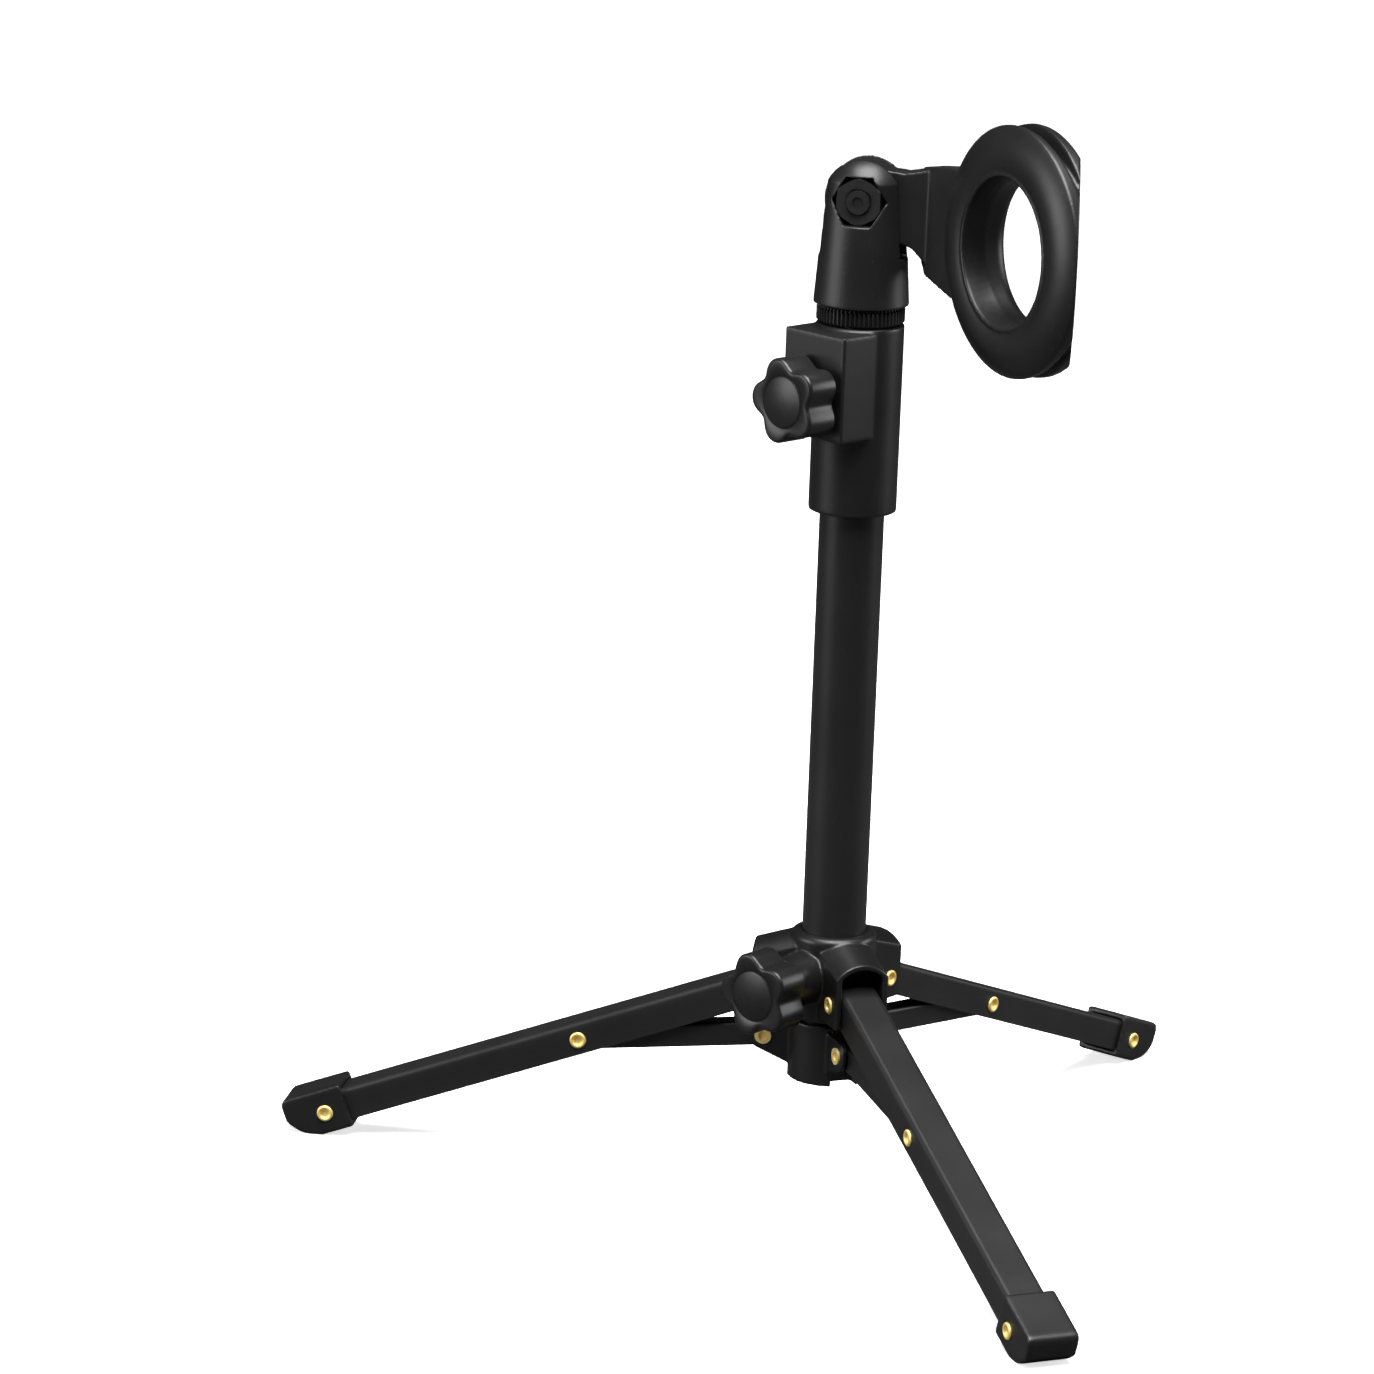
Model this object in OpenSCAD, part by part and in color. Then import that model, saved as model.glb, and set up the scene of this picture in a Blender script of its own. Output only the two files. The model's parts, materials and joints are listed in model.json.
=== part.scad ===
// Desktop microphone stand: folding three-leg base, telescoping tube and a ring clip.
// Millimetres, +Z up. The origin is on the floor, under the middle of the bounding box.

/* [Tube] */
// Outer diameter of the centre tube
tube_d = 14; // [13:0.5:15]
// Wall thickness of the centre tube
tube_wall = 1; // [0.8:0.1:1.2]
// Diameter of the inner rod that slides in the tube
rod_d = 10; // [9:0.5:10.5]

/* [Base] */
// Height of the leg pivots above the floor
hub_pivot_z = 43.3; // [42:0.1:45]
// Distance of the leg pivots from the tube axis
hub_pivot_r = 13.4; // [13:0.1:14]
// Height of the strut pivots above the floor
low_pivot_z = 31.8; // [31:0.1:33]
// Distance of the strut pivots from the tube axis
low_pivot_r = 14.2; // [14:0.1:15]
// Slope of the legs below the horizontal, in degrees
leg_slope = 21; // [20:0.5:22]
// Length of a leg from its hub pivot to its foot rivet
leg_len = 105.9; // [100:0.1:110]
// Distance from the hub pivot to the rivet that joins leg and strut
leg_mid = 45.1; // [44:0.1:46]

/* [Upper sleeve] */
// Height of the lower edge of the sleeve
sleeve_z = 150.8; // [145:0.1:155]
// Height of the upper edge of the sleeve
sleeve_top = 191.6; // [188:0.1:195]
// Outer diameter of the sleeve
sleeve_d = 19; // [18:0.5:20]

/* [Clip] */
// Height of the tilt bolt
bolt_z = 218.5; // [216:0.1:221]
// Compass direction in which the clip's tongue points, in degrees
clip_turn = -35; // [-180:1:180]
// Angle by which the ring is bent away from the tongue, in degrees
ring_bend = 48; // [30:1:50]
// Outer diameter of the ring
ring_d = 52.2; // [48:0.2:56]
// Diameter of the ring's throat, where the microphone sits
ring_bore = 29.4; // [27:0.2:31]

/* [Knobs] */
// Outer diameter of a star knob over its lobes
knob_d = 19; // [16:0.5:20]
// Number of lobes on a star knob
knob_lobes = 5; // [5:1:7]
// Compass direction of the lower knob, in degrees
hub_knob_turn = -153; // [-155:1:-145]
// Compass direction of the upper knob, in degrees
sleeve_knob_turn = -157; // [-180:1:180]

/* [Hidden] */
$fn = 72;
LEG_TURN = [-90, 30, 150];

// Colours
black_plastic = [0.05, 0.05, 0.055];
black_paint = [0.04, 0.04, 0.04];
gold = [0.83, 0.66, 0.3];
dark_steel = [0.25, 0.25, 0.26];
bright_steel = [0.6, 0.6, 0.62];

// Clearances
running = 0.05;         // radial play of a shaft in its hole
gap = 0.3;              // space between faces that pass each other
over = 1;               // how far a cutting shape runs past the face it cuts

// Leg channel, measured square to the line through its rivets
leg_w = 9;
leg_top = 3.9;
leg_bottom = 3.3;
leg_wall = 0.9;
leg_corner = 1.2;
leg_head = 3.6;         // radius of the rounded upper end
leg_head_up = 0.3;      // how far that radius sits above the rivet line
leg_past_rivet = 3.5;   // length of channel beyond the foot rivet

// Strut channel
strut_w = 5.4;
strut_half_h = 2.6;
strut_wall = 0.8;
mid_r = hub_pivot_r + leg_mid * cos(leg_slope);
mid_z = hub_pivot_z - leg_mid * sin(leg_slope);
strut_run = mid_r - low_pivot_r;
strut_drop = low_pivot_z - mid_z;
strut_len = sqrt(strut_run * strut_run + strut_drop * strut_drop);
strut_slope = atan2(strut_drop, strut_run);

// Foot cap, measured from the foot rivet in the leg's own directions
foot_w = 11.4;
foot_back = 5.2;
foot_toe = 9.4;
foot_top = 5.4;
foot_bottom = 4.8;
foot_heel_x = 3.6;      // where the flat underside ends and the curved toe starts
foot_toe_r = 11;        // radius of that curve
foot_corner = 1.6;
foot_r = hub_pivot_r + leg_len * cos(leg_slope);

// The tube axis stands off the middle of the base, because one leg points forwards.
foot_reach = foot_r + (foot_toe - foot_corner) * cos(leg_slope)
    + (foot_top - foot_corner) * sin(leg_slope) + foot_corner;
back_reach = foot_reach * sin(30) + foot_w / 2 * cos(30);
axis_y = (foot_reach - back_reach) / 2;

// Rivets
rivet_r = 1.5;
rivet_head_r = 1.85;
rivet_head_h = 0.5;
rivet_dish_r = 1;
rivet_dish = 0.35;

// Lower hub
low_hub_d = 18.6;
low_hub_bottom = 22.8;
low_hub_top = 36.4;
low_spigot_top = 50;
tube_bottom = 30;
ear_gap = 5.8;
ear_wall = 1.2;
ear_r = 3.3;
ear_underside = 23;     // slope of an ear's lower edge, in degrees
ear_root = 8;           // length of that slope
ear_slot_r = 5.6;       // how close to the axis the slots between the ears reach

// Leg hub
collar_d = 18.8;
collar_bottom = 37.2;
collar_top = 56.4;
collar_round = 1.5;
lug_w = 12.2;
lug_slot_w = 9.4;
lug_reach = 17.3;
lug_bottom = 38.6;
lug_slope = 18;         // the arched roof of a lug falls outwards
lug_crown_z = hub_pivot_z + 9.7;    // height of that roof at the lug's mouth
lug_roof_r = 8;
lug_roof_t = 1.1;
lug_slot_r = 9.1;
boss_z = 47;
boss_r = 5.8;
boss_reach = 17.4;

// Sleeve block
block_w = 17.6;
block_reach = 13.6;
block_bottom = 168;
block_top = 190.8;
sleeve_knob_z = 177.4;
sleeve_shoulder = 165;

// Knob set: threaded insert, stud, pressure pad and star knob
insert_r = 3.4;
insert_len = 6;
stud_r = 2;
pad_r = 2.2;
pad_t = 1;
knob_depth = 8.6;
knob_rim = 1.2;
knob_hub_r = 5;
knob_hub_len = 0.8;
knob_gap = 0.4;         // from the block or boss to the back of its knob
knob_stud_grip = 5;
knob_lobe_r = 3.1;
knob_core_r = knob_d / 2 - 1.7;

// Rod and its stud
rod_bottom = 62;
rod_top = sleeve_top + 0.1;
glide_len = 8;
rod_stud_r = 4;
rod_stud_bottom = 182;

// Lock ring
lock_d = 19;
lock_bottom = sleeve_top + gap;
lock_h = 3.6;
lock_teeth = 60;
lock_tooth_r = 0.35;

// Clip socket
socket_bottom = lock_bottom + lock_h + gap;
socket_r_bottom = 10.25;
socket_r_bolt = 8.7;    // radius at the height of the bolt
socket_dome_r = 9.25;
socket_h = bolt_z + socket_dome_r - socket_bottom;
socket_r_top = socket_r_bottom
    - (socket_r_bottom - socket_r_bolt) * socket_h / (bolt_z - socket_bottom);
socket_slot_w = 7;
socket_slot_floor = bolt_z - 12.4;
socket_insert_r = 5.5;
socket_insert_len = 9;
rod_stud_top = socket_bottom + socket_insert_len - 0.4;
nut_flats = 9.4;
nut_pocket_flats = 10.2;
nut_seat = 4.9;         // distance of the nut's seat from the tube axis
nut_t = 2.5;
bolt_r = 2.5;
bolt_end = 8.1;
bolt_dish_r = 1.2;
bolt_dish = 0.3;
bolt_head_r = 4.2;
bolt_head_t = 2.4;
head_pocket_r = 4.7;
washer_t = 0.6;
hex_to_corner = 1 / cos(30);

// Mic clip
tongue_w = 6.4;
tongue_r = 8.3;
crease_x = 15.3;        // where the arm bends away from the tongue
crease_top = 7.6;
crease_bottom = -15.2;
arm_start_bottom = -11.4;
arm_w = 6;
arm_len = 20;
arm_end_top = 9.2;
arm_end_bottom = -18.4;
ring_from_crease = 37.4;
ring_z = bolt_z - 4.1;
ring_r = ring_d / 2;
throat_r = ring_bore / 2;
rim_ahead = 4.2;        // from the arm's middle plane forwards to the ring's front rim
throat_half = 1.5;

// Ring in section: X outwards from its axis, Y forwards from the front rim
face_r = 9.5;           // radius of the rounded front and back faces
face_peak_r = 19.5;
face_peak = 2.5;
back_peak = -9.1;
lip_at = 16;
lip_r = 0.5;
lip_y = face_peak - face_r + sqrt(face_r * face_r - (face_peak_r - lip_at) * (face_peak_r - lip_at));
throat_front = throat_half - rim_ahead;
throat_back = -throat_half - rim_ahead;
mouth_slope = (lip_at - lip_r - throat_r) / (lip_y - throat_front);
mouth_round = 3;
groove_shift = 5;       // the groove is off centre, so it runs out at the far side
groove_mid = -3.1;
groove_floor_r = 21.7;
groove_floor_half = 0.5;
groove_rim_r = 27.2;
groove_rim_half = 2.3;
flat_turn = 60;         // direction the flat on the far side faces, from the ring's X

// ---------------------------------------------------------------- helpers

// Places its children in the stand's frame.
module stand() {
    translate([0, axis_y, 0]) children();
}

// Turns its children about the tube axis.
module around(turn) {
    rotate([0, 0, turn]) children();
}

// A cylinder that lies along X from x = from to x = to.
module bar_x(from, to, r) {
    translate([from, 0, 0]) rotate([0, 90, 0]) cylinder(h = to - from, r = r);
}

// A cylinder that lies across Y, centred.
module bar_y(width, r) {
    rotate([90, 0, 0]) cylinder(h = width, r = r, center = true);
}

// A box that is centred in Y.
module slab(x0, x1, z0, z1, width) {
    translate([x0, -width / 2, z0]) cube([x1 - x0, width, z1 - z0]);
}

// An outline drawn in X and Z, width wide and centred in Y.
module upright(width) {
    rotate([90, 0, 0]) linear_extrude(height = width, center = true) children();
}

// Leg frame: X runs down the leg from the hub rivet, Z square to it.
module on_leg(turn) {
    around(turn) translate([hub_pivot_r, 0, hub_pivot_z]) rotate([0, leg_slope, 0]) children();
}

// Strut frame: X runs from the mid rivet inwards to the lower hub.
module on_strut(turn) {
    around(turn) translate([mid_r, 0, mid_z]) rotate([0, strut_slope, 0])
        mirror([1, 0, 0]) children();
}

// Knob frame: X runs outwards through the knob at height z.
module on_knob(turn, z) {
    around(turn) translate([0, 0, z]) children();
}

// Clip frame: origin on the tilt bolt, X out along the tongue, bolt along Y.
module on_clip() {
    translate([0, 0, bolt_z]) around(clip_turn) children();
}

// Ring frame: origin at the ring's centre, X away from the arm, ring axis along Y.
module on_ring() {
    on_clip() translate([crease_x, 0, ring_z - bolt_z]) around(-ring_bend)
        translate([ring_from_crease, 0, 0]) children();
}

// Rectangle with rounded upper corners.
module arch_section(width, top, bottom, corner) {
    translate([-width / 2, -bottom]) square([width, bottom + top - corner]);
    translate([-width / 2 + corner, -bottom]) square([width - 2 * corner, bottom + top]);
    for (side = [-1, 1])
        translate([side * (width / 2 - corner), top - corner]) circle(r = corner);
}

// Sheet-metal channel section, open downwards.
module channel_section(width, top, bottom, wall, corner) {
    difference() {
        arch_section(width, top, bottom, corner);
        translate([-width / 2 + wall, -bottom - over])
            square([width - 2 * wall, bottom + top - wall + over]);
    }
}

// A section, drawn in Y and Z, drawn out along X.
module drawn_out(from, to) {
    translate([from, 0, 0]) rotate([90, 0, 90]) linear_extrude(height = to - from) children();
}

// Rivet across Y: shank and two dished heads, half is the distance to the heads' seats.
module rivet(half) {
    difference() {
        union() {
            bar_y(2 * half, rivet_r);
            for (side = [-1, 1])
                translate([0, side * (half + rivet_head_h / 2), 0])
                    bar_y(rivet_head_h, rivet_head_r);
        }
        for (side = [-1, 1])
            translate([0, side * (half + rivet_head_h), 0])
                bar_y(2 * rivet_dish, rivet_dish_r);
    }
}

// ---------------------------------------------------------------- tube and lower hub

module tube() {
    color(black_paint) stand() difference() {
        translate([0, 0, tube_bottom])
            cylinder(h = sleeve_shoulder - tube_bottom, d = tube_d);
        translate([0, 0, tube_bottom - over])
            cylinder(h = sleeve_shoulder - tube_bottom + 2 * over, r = tube_d / 2 - tube_wall);
    }
}

// Side outline of an ear, X outwards and Y up from its pin.
module ear_outline() {
    circle(r = ear_r);
    translate([-low_pivot_r, -ear_r]) square([low_pivot_r, 2 * ear_r]);
    rotate(ear_underside) translate([-ear_root, -ear_r]) square([ear_root, 2 * ear_r]);
}

module low_hub_ear_pair() {
    translate([low_pivot_r, 0, low_pivot_z]) upright(ear_gap + 2 * ear_wall) ear_outline();
}

module lower_hub() {
    color(black_plastic) stand() difference() {
        union() {
            translate([0, 0, low_hub_bottom])
                cylinder(h = low_hub_top - low_hub_bottom, d = low_hub_d);
            translate([0, 0, low_hub_top - over])
                cylinder(h = low_spigot_top - low_hub_top + over, r = tube_d / 2 - tube_wall);
            for (turn = LEG_TURN) around(turn) low_hub_ear_pair();
        }
        // ring-shaped seat for the tube's lower end
        difference() {
            translate([0, 0, tube_bottom])
                cylinder(h = low_spigot_top - tube_bottom + over, d = tube_d);
            translate([0, 0, tube_bottom - over])
                cylinder(h = low_spigot_top - tube_bottom + 3 * over, r = tube_d / 2 - tube_wall);
        }
        // slots for the struts, and the holes for their pins
        for (turn = LEG_TURN) around(turn) {
            slab(ear_slot_r, low_hub_d, low_hub_bottom - over, low_hub_top + over, ear_gap);
            translate([low_pivot_r, 0, low_pivot_z]) bar_y(low_hub_d, rivet_r);
        }
    }
}

// One pin stub in each ear, so that the strut end stays free between them.
module strut_pins() {
    color(gold) stand() for (turn = LEG_TURN) around(turn)
        translate([low_pivot_r, 0, low_pivot_z]) difference() {
            rivet(ear_gap / 2 + ear_wall);
            cube([low_hub_d, ear_gap, low_hub_d], center = true);
        }
}

// ---------------------------------------------------------------- upper sleeve

module tube_sleeve() {
    color(black_plastic) stand() difference() {
        union() {
            translate([0, 0, sleeve_z]) cylinder(h = sleeve_top - sleeve_z, d = sleeve_d);
            around(sleeve_knob_turn) slab(0, block_reach, block_bottom, block_top, block_w);
        }
        translate([0, 0, sleeve_z - over])
            cylinder(h = sleeve_shoulder - sleeve_z + over, d = tube_d);
        translate([0, 0, sleeve_z])
            cylinder(h = sleeve_top - sleeve_z + over, r = rod_d / 2 + running);
        on_knob(sleeve_knob_turn, sleeve_knob_z) {
            bar_x(0, block_reach + over, pad_r + running);
            bar_x(block_reach - insert_len, block_reach + over, insert_r);
        }
    }
}

module threaded_insert(face) {
    difference() {
        bar_x(face - insert_len, face, insert_r);
        bar_x(face - insert_len - over, face + over, stud_r + running);
    }
}

module sleeve_insert() {
    color(gold) stand() on_knob(sleeve_knob_turn, sleeve_knob_z)
        threaded_insert(block_reach);
}

// ---------------------------------------------------------------- knob sets

// Pressure pad: a short disc whose face stops at the part it clamps.
module pressure_pad(clamped_r) {
    bar_x(clamped_r + running, clamped_r + running + pad_t, pad_r);
}

// Stud from the pad to inside the knob, whose back face is at x = face.
module knob_stud(clamped_r, face) {
    bar_x(clamped_r + running + pad_t, face + knob_hub_len + knob_stud_grip, stud_r);
}

module star_outline() {
    circle(r = knob_core_r);
    for (i = [0 : knob_lobes - 1])
        rotate(i * 360 / knob_lobes) translate([knob_d / 2 - knob_lobe_r, 0])
            circle(r = knob_lobe_r);
}

// Star knob with a raised disc in the middle of its face.
module star_knob(face) {
    body = face + knob_hub_len;
    difference() {
        union() {
            bar_x(face, body + over, knob_hub_r);
            translate([body, 0, 0]) rotate([0, 90, 0])
                linear_extrude(height = knob_depth - knob_rim) star_outline();
            translate([body + knob_depth - knob_rim, 0, 0]) rotate([0, 90, 0])
                cylinder(h = knob_rim, r1 = knob_core_r - knob_rim, r2 = knob_core_r - 2 * knob_rim);
        }
        bar_x(face - over, body + knob_stud_grip, stud_r);
    }
}

module sleeve_pad() {
    color(dark_steel) stand() on_knob(sleeve_knob_turn, sleeve_knob_z)
        pressure_pad(rod_d / 2);
}

module sleeve_knob_stud() {
    color(bright_steel) stand() on_knob(sleeve_knob_turn, sleeve_knob_z)
        knob_stud(rod_d / 2, block_reach + knob_gap);
}

module sleeve_knob() {
    color(black_plastic) stand() on_knob(sleeve_knob_turn, sleeve_knob_z)
        star_knob(block_reach + knob_gap);
}

module hub_pad() {
    color(dark_steel) stand() on_knob(hub_knob_turn, boss_z) pressure_pad(tube_d / 2);
}

module hub_knob_stud() {
    color(bright_steel) stand() on_knob(hub_knob_turn, boss_z)
        knob_stud(tube_d / 2, boss_reach + knob_gap);
}

module hub_knob() {
    color(black_plastic) stand() on_knob(hub_knob_turn, boss_z)
        star_knob(boss_reach + knob_gap);
}

// ---------------------------------------------------------------- rod and lock ring

module rod() {
    color(bright_steel) stand() difference() {
        translate([0, 0, rod_bottom]) cylinder(h = rod_top - rod_bottom, d = rod_d);
        translate([0, 0, rod_stud_bottom]) cylinder(h = sleeve_top, r = rod_stud_r);
        translate([0, 0, rod_bottom - over]) cylinder(h = glide_len + over, r = rod_stud_r);
    }
}

// Plug in the rod's lower end, with a collar that runs in the tube.
module rod_glide() {
    color(black_plastic) stand() {
        translate([0, 0, rod_bottom]) cylinder(h = glide_len, r = rod_stud_r);
        translate([0, 0, rod_bottom - glide_len])
            cylinder(h = glide_len, r = tube_d / 2 - tube_wall - running);
    }
}

module rod_stud() {
    color(bright_steel) stand() translate([0, 0, rod_stud_bottom])
        cylinder(h = rod_stud_top - rod_stud_bottom, r = rod_stud_r);
}

module lock_ring() {
    color(black_plastic) stand() translate([0, 0, lock_bottom]) difference() {
        cylinder(h = lock_h, d = lock_d);
        translate([0, 0, -over]) cylinder(h = lock_h + 2 * over, r = rod_stud_r + running);
        for (i = [0 : lock_teeth - 1])
            rotate([0, 0, i * 360 / lock_teeth]) translate([lock_d / 2, 0, -over])
                cylinder(h = lock_h + 2 * over, r = lock_tooth_r, $fn = 16);
    }
}

// ---------------------------------------------------------------- clip socket and tilt joint

// A slightly tapering wall under a dome that is centred on the bolt.
module socket_shape() {
    intersection() {
        translate([0, 0, socket_bottom])
            cylinder(h = socket_h, r1 = socket_r_bottom, r2 = socket_r_top);
        union() {
            translate([0, 0, bolt_z]) sphere(r = socket_dome_r);
            translate([0, 0, socket_bottom - over])
                cylinder(h = bolt_z - socket_bottom + over, r = 2 * socket_r_bottom);
        }
    }
}

module clip_socket() {
    color(black_plastic) stand() difference() {
        socket_shape();
        // slot for the tongue
        on_clip() slab(-socket_r_bottom - over, socket_r_bottom + over,
                       socket_slot_floor - bolt_z, socket_dome_r + over, socket_slot_w);
        // bolt hole, nut pocket and head pocket
        on_clip() {
            bar_y(3 * socket_dome_r, bolt_r);
            translate([0, -nut_seat, 0]) rotate([90, 0, 0])
                cylinder(h = socket_dome_r, r = nut_pocket_flats / 2 * hex_to_corner, $fn = 6);
            translate([0, nut_seat, 0]) rotate([-90, 0, 0])
                cylinder(h = socket_dome_r, r = head_pocket_r);
        }
        // seat of the threaded insert
        translate([0, 0, socket_bottom - over])
            cylinder(h = socket_insert_len + over, r = socket_insert_r);
    }
}

module socket_insert() {
    color(gold) stand() translate([0, 0, socket_bottom]) difference() {
        cylinder(h = socket_insert_len, r = socket_insert_r);
        translate([0, 0, -over])
            cylinder(h = socket_insert_len + 2 * over, r = rod_stud_r + running);
    }
}

module tilt_bolt() {
    color(dark_steel) stand() on_clip() rotate([90, 0, 0]) difference() {
        union() {
            translate([0, 0, -nut_seat - washer_t])
                cylinder(h = nut_seat + washer_t + bolt_end, r = bolt_r);
            translate([0, 0, -nut_seat - washer_t - bolt_head_t])
                cylinder(h = bolt_head_t, r = bolt_head_r);
        }
        translate([0, 0, bolt_end - bolt_dish]) cylinder(h = over, r = bolt_dish_r);
    }
}

module tilt_nut() {
    color(dark_steel) stand() on_clip() translate([0, -nut_seat, 0]) rotate([90, 0, 0])
        difference() {
            cylinder(h = nut_t, r = nut_flats / 2 * hex_to_corner, $fn = 6);
            translate([0, 0, -over]) cylinder(h = nut_t + 2 * over, r = bolt_r);
        }
}

module tilt_washer() {
    color(bright_steel) stand() on_clip() translate([0, nut_seat, 0]) rotate([-90, 0, 0])
        difference() {
            cylinder(h = washer_t, r = bolt_head_r);
            translate([0, 0, -over]) cylinder(h = washer_t + 2 * over, r = bolt_r);
        }
}

// ---------------------------------------------------------------- mic clip

// The ring without its hole and groove: rounded in front and behind.
module ring_section() {
    intersection() {
        translate([throat_r, back_peak]) square([ring_r - throat_r, face_peak - back_peak]);
        translate([face_peak_r, face_peak - face_r]) circle(r = face_r);
        translate([face_peak_r, back_peak + face_r]) circle(r = face_r);
    }
}

// The groove between the ring's two flanges.
module groove_section() {
    polygon([[groove_floor_r, groove_mid - groove_floor_half],
             [groove_rim_r, groove_mid - groove_rim_half],
             [ring_d, groove_mid - groove_rim_half],
             [ring_d, groove_mid + groove_rim_half],
             [groove_rim_r, groove_mid + groove_rim_half],
             [groove_floor_r, groove_mid + groove_floor_half]]);
}

// The hole: a wide cone behind the lip, the throat, and a mouth rounded out to the back.
module hole_section() {
    hole_top = face_peak + over;
    hole_bottom = back_peak - over;
    polygon([[0, hole_top], [throat_r + (hole_top - throat_front) * mouth_slope, hole_top],
             [throat_r, throat_front], [throat_r, throat_back], [0, throat_back]]);
    difference() {
        translate([0, hole_bottom]) square([throat_r + mouth_round, throat_back - hole_bottom]);
        translate([throat_r + mouth_round, throat_back]) circle(r = mouth_round);
    }
}

// Turns a ring section about the ring's axis, Y of the section to the front.
module ring_turned() {
    translate([0, -rim_ahead, 0]) rotate([90, 0, 0]) rotate_extrude() children();
}

module ring_shape() {
    difference() {
        ring_turned() ring_section();
        translate([groove_shift, 0, 0]) ring_turned() groove_section();
        translate([ring_r, -rim_ahead, 0]) rotate([0, 0, flat_turn])
            translate([0, -ring_d, -ring_d]) cube([ring_d, 2 * ring_d, 2 * ring_d]);
    }
    ring_turned() translate([lip_at, lip_y]) circle(r = lip_r);
}

// Outline of the tongue as far as the crease, X and Z of the clip frame.
module tongue_outline() {
    circle(r = tongue_r);
    polygon([[0, 7], [9, 6.1], [crease_x + over, crease_top], [crease_x + over, crease_bottom],
             [11, -9.8], [4, -7.4]]);
}

// Outline of the arm beyond the crease, X from the crease.
module arm_outline() {
    polygon([[-over, crease_top], [8, 8.8], [14, arm_end_top], [arm_len, arm_end_top],
             [arm_len, arm_end_bottom], [14, arm_end_bottom], [12, -18.2],
             [over, crease_bottom], [-over, arm_start_bottom]]);
}

module mic_clip() {
    color(black_plastic) stand() difference() {
        union() {
            on_clip() upright(tongue_w) tongue_outline();
            on_clip() translate([crease_x, 0, 0]) around(-ring_bend) upright(arm_w) arm_outline();
            on_ring() ring_shape();
        }
        on_clip() bar_y(2 * tongue_w, bolt_r + running);
        on_ring() ring_turned() hole_section();
    }
}

// ---------------------------------------------------------------- leg hub

// Prism whose arched roof falls outwards, drop below the roof of a lug.
module under_roof(width, drop) {
    reach = 2 * lug_reach;
    roof_r = lug_roof_r - drop;
    translate([lug_reach, 0, lug_crown_z]) rotate([0, lug_slope, 0])
        translate([0, 0, -drop]) intersection() {
            slab(-reach, reach, -collar_top, over, width);
            union() {
                translate([0, 0, -roof_r]) bar_x(-reach, reach, roof_r);
                slab(-reach, reach, -collar_top, -roof_r, 2 * roof_r);
            }
        }
}

module lug_shape() {
    intersection() {
        slab(0, lug_reach, lug_bottom, collar_top, lug_w);
        under_roof(lug_w, 0);
    }
}

// The slot for a leg, open outwards and below.
module lug_slot() {
    intersection() {
        slab(lug_slot_r, lug_reach + over, 0, collar_top, lug_w);
        under_roof(lug_slot_w, lug_roof_t);
    }
}

module collar_section() {
    half = collar_d / 2;
    translate([0, collar_bottom]) square([half, collar_top - collar_bottom - collar_round]);
    square_w = half - collar_round;
    translate([0, collar_bottom]) square([square_w, collar_top - collar_bottom]);
    translate([square_w, collar_top - collar_round]) circle(r = collar_round);
}

module leg_hub() {
    color(black_plastic) stand() difference() {
        union() {
            rotate_extrude() collar_section();
            for (turn = LEG_TURN) around(turn) lug_shape();
            on_knob(hub_knob_turn, boss_z) bar_x(0, boss_reach, boss_r);
        }
        translate([0, 0, collar_bottom - over])
            cylinder(h = collar_top, r = tube_d / 2 + running);
        for (turn = LEG_TURN) around(turn) {
            lug_slot();
            translate([hub_pivot_r, 0, hub_pivot_z]) bar_y(lug_w + over, rivet_r);
        }
        on_knob(hub_knob_turn, boss_z) {
            bar_x(0, boss_reach + over, pad_r + running);
            bar_x(boss_reach - insert_len, boss_reach + over, insert_r);
        }
    }
}

module hub_rivets() {
    color(gold) stand() for (turn = LEG_TURN)
        around(turn) translate([hub_pivot_r, 0, hub_pivot_z]) rivet(lug_w / 2);
}

module hub_insert() {
    color(gold) stand() on_knob(hub_knob_turn, boss_z) threaded_insert(boss_reach);
}

// ---------------------------------------------------------------- legs, struts and feet

module leg_shape() {
    difference() {
        intersection() {
            drawn_out(-leg_head, leg_len + leg_past_rivet)
                channel_section(leg_w, leg_top, leg_bottom, leg_wall, leg_corner);
            union() {
                translate([0, 0, leg_head_up]) bar_y(leg_w, leg_head);
                slab(0, leg_len + leg_past_rivet, -leg_bottom, leg_top, leg_w);
            }
        }
        bar_y(leg_w + over, rivet_r + running);
        translate([leg_mid, 0, 0]) bar_y(leg_w + over, rivet_r);
        translate([leg_len, 0, 0]) bar_y(leg_w + over, rivet_r);
    }
}

module strut_shape() {
    difference() {
        intersection() {
            drawn_out(-strut_half_h, strut_len + strut_half_h)
                channel_section(strut_w, strut_half_h, strut_half_h, strut_wall, strut_wall);
            union() {
                for (x = [0, strut_len]) translate([x, 0, 0]) bar_y(strut_w, strut_half_h);
                slab(0, strut_len, -strut_half_h, strut_half_h, strut_w);
            }
        }
        for (x = [0, strut_len]) translate([x, 0, 0]) bar_y(strut_w + over, rivet_r + running);
    }
}

// Side outline of a foot cap, X towards the toe and Y up, from the foot rivet.
module foot_outline() {
    intersection() {
        union() {
            translate([-foot_back, -foot_bottom])
                square([foot_back + foot_toe, foot_bottom + foot_top - foot_corner]);
            translate([-foot_back, -foot_bottom])
                square([foot_back + foot_toe - foot_corner, foot_bottom + foot_top]);
            translate([foot_toe - foot_corner, foot_top - foot_corner]) circle(r = foot_corner);
        }
        union() {
            translate([-foot_back, -foot_bottom])
                square([foot_back + foot_heel_x, foot_bottom + foot_top]);
            translate([foot_heel_x - foot_toe_r * sin(leg_slope),
                       foot_toe_r * cos(leg_slope) - foot_bottom]) circle(r = foot_toe_r);
        }
    }
}

module foot_shape() {
    difference() {
        translate([leg_len, 0, 0]) upright(foot_w) foot_outline();
        slab(leg_len - foot_back - over, leg_len + leg_past_rivet, -leg_bottom, leg_top, leg_w);
        translate([leg_len, 0, 0]) bar_y(foot_w + over, rivet_r);
    }
}

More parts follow.
